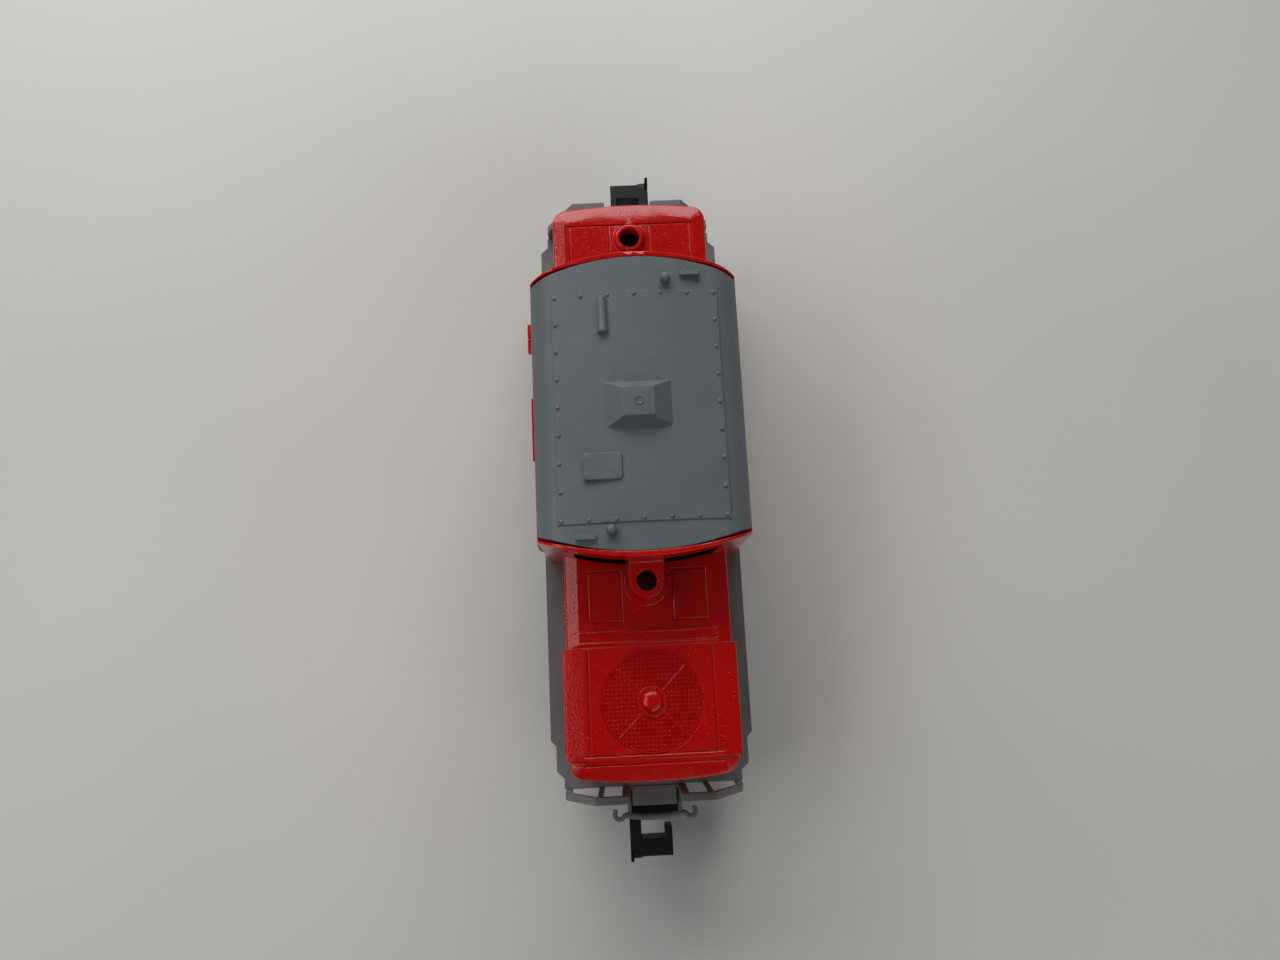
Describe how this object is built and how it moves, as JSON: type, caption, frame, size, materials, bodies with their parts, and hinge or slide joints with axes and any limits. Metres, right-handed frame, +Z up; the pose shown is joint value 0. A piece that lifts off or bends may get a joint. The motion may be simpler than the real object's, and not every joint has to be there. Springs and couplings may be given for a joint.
{
  "type": "model diesel locomotive",
  "caption": "Small-scale centre-cab diesel shunting locomotive: red body, grey roof and running boards, geared axles driven by a worm, and hook couplers that swing and lift.",
  "frame": {"origin": "midway between the coupler tips, on the plane that the wheel flanges stand on", "axes": "+X towards the long hood with the fan, +Y to the left when looking along +X, +Z up"},
  "size_m": [0.0702, 0.0202, 0.0259],
  "materials": {
    "red_shell": "satin moulded polystyrene with a fine pebble on the flat faces",
    "roof_grey": "matt moulded polystyrene",
    "frame_grey": "matt moulded acetal",
    "clear_window": "clear moulded polystyrene",
    "clear_acrylic": "clear acrylic, rounded at the lamp ends",
    "lamp_glass": "small clear lamp",
    "zinc_casting": "blackened zinc pressure die casting",
    "black_plastic": "matt moulded nylon",
    "steel": "turned or pressed",
    "nickel_wheel": "turned and nickel plated",
    "acetal_gear": "natural moulded acetal",
    "brass": "cut thread",
    "bronze": "phosphor bronze, stamped or sintered",
    "copper": "enamelled wire and copper segments",
    "ferrite": "sintered ferrite",
    "carbon": "pressed carbon",
    "rubber_tyre": "soft rubber ring",
    "circuit_laminate": "glass-epoxy laminate",
    "electronic_parts": "wound ferrite rods and a ceramic disc"
  },
  "bodies": {
    "root": {"axle_bearings": "bronze", "body_shell": "red_shell", "brush_springs": "bronze", "cab_glazing": "clear_window", "cab_handrails": "frame_grey", "cab_roof": "roof_grey", "chassis_block": "zinc_casting", "chassis_screws": "steel", "circuit_board": "circuit_laminate", "coupler_pins": "steel", "end_railing_front": "frame_grey", "end_railing_rear": "frame_grey", "fan_grille": "red_shell", "front_ballast": "zinc_casting", "gear_pins": "steel", "guard_bar_front": "frame_grey", "guard_bar_rear": "frame_grey", "keeper_plate": "black_plastic", "lamps": "lamp_glass", "light_guides": "clear_acrylic", "motor_brushes": "carbon", "motor_can": "steel", "motor_end_plate": "black_plastic", "motor_magnets": "ferrite", "pickup_strip_left": "bronze", "pickup_strip_right": "bronze", "rear_ballast": "zinc_casting", "shaft_bearings": "bronze", "suppressor_parts": "electronic_parts", "walkway_frame": "frame_grey"},
    "axle_1_body": {"axle_1": "steel", "wheel_1_left": "nickel_wheel", "wheel_1_right": "nickel_wheel", "axle_gear_1": "acetal_gear", "insulating_bush_1": "black_plastic"},
    "axle_2_body": {"axle_2": "steel", "wheel_2_left": "nickel_wheel", "wheel_2_right": "nickel_wheel", "axle_gear_2": "acetal_gear", "insulating_bush_2": "black_plastic"},
    "axle_3_body": {"axle_3": "steel", "wheel_3_left": "nickel_wheel", "wheel_3_right": "nickel_wheel", "axle_gear_3": "acetal_gear", "insulating_bush_3": "black_plastic", "traction_tyres": "rubber_tyre"},
    "front_idler": {"idler_gear_front": "acetal_gear"},
    "rear_idler": {"idler_gear_rear": "acetal_gear"},
    "worm_wheel_body": {"worm_wheel": "acetal_gear"},
    "armature": {"motor_shaft": "steel", "armature_core": "steel", "armature_windings": "copper", "commutator": "copper", "worm": "brass"},
    "front_coupler": {"coupler_pocket_front": "black_plastic", "coupler_spring_front": "bronze"},
    "front_hook": {"coupler_hook_front": "black_plastic"},
    "rear_coupler": {"coupler_pocket_rear": "black_plastic", "coupler_spring_rear": "bronze"},
    "rear_hook": {"coupler_hook_rear": "black_plastic"}
  },
  "joints": [
    {"name": "armature_spin", "type": "hinge", "parent": "root", "child": "armature", "pos_m": [0, 0, 0.01515], "axis": [1, 0, 0], "continuous": true},
    {"name": "worm_wheel_spin", "type": "hinge", "parent": "root", "child": "worm_wheel_body", "pos_m": [0.0143, 0, 0.0098], "axis": [0, 1, 0], "continuous": true},
    {"name": "axle_1_spin", "type": "hinge", "parent": "root", "child": "axle_1_body", "pos_m": [-0.01275, 0, 0.004], "axis": [0, 1, 0], "continuous": true},
    {"name": "axle_2_spin", "type": "hinge", "parent": "root", "child": "axle_2_body", "pos_m": [0, 0, 0.004], "axis": [0, 1, 0], "continuous": true},
    {"name": "axle_3_spin", "type": "hinge", "parent": "root", "child": "axle_3_body", "pos_m": [0.01275, 0, 0.004], "axis": [0, 1, 0], "continuous": true},
    {"name": "front_idler_spin", "type": "hinge", "parent": "root", "child": "front_idler", "pos_m": [0.00637, 0, 0.00571], "axis": [0, 1, 0], "continuous": true},
    {"name": "rear_idler_spin", "type": "hinge", "parent": "root", "child": "rear_idler", "pos_m": [-0.00637, 0, 0.00571], "axis": [0, 1, 0], "continuous": true},
    {"name": "front_coupler_swing", "type": "hinge", "parent": "root", "child": "front_coupler", "pos_m": [0.0245, 0, 0.0058], "axis": [0, 0, 1], "range_deg": [-10, 10]},
    {"name": "front_hook_lift", "type": "hinge", "parent": "front_coupler", "child": "front_hook", "pos_m": [0.027, 0, 0.00555], "axis": [0, -1, 0], "range_deg": [0, 6], "stiffness_Nm_per_rad": 0.0002, "springref_deg": -11.46},
    {"name": "rear_coupler_swing", "type": "hinge", "parent": "root", "child": "rear_coupler", "pos_m": [-0.0245, 0, 0.0058], "axis": [0, 0, 1], "range_deg": [-10, 10]},
    {"name": "rear_hook_lift", "type": "hinge", "parent": "rear_coupler", "child": "rear_hook", "pos_m": [-0.027, 0, 0.00555], "axis": [0, 1, 0], "range_deg": [0, 6], "stiffness_Nm_per_rad": 0.0002, "springref_deg": -11.46}
  ],
  "couplings": [
    {"joint": "worm_wheel_spin", "follows": "armature_spin", "ratio": -0.041667},
    {"joint": "axle_3_spin", "follows": "armature_spin", "ratio": 0.0625},
    {"joint": "front_idler_spin", "follows": "armature_spin", "ratio": -0.035714},
    {"joint": "axle_2_spin", "follows": "armature_spin", "ratio": 0.0625},
    {"joint": "rear_idler_spin", "follows": "armature_spin", "ratio": -0.035714},
    {"joint": "axle_1_spin", "follows": "armature_spin", "ratio": 0.0625}
  ]
}
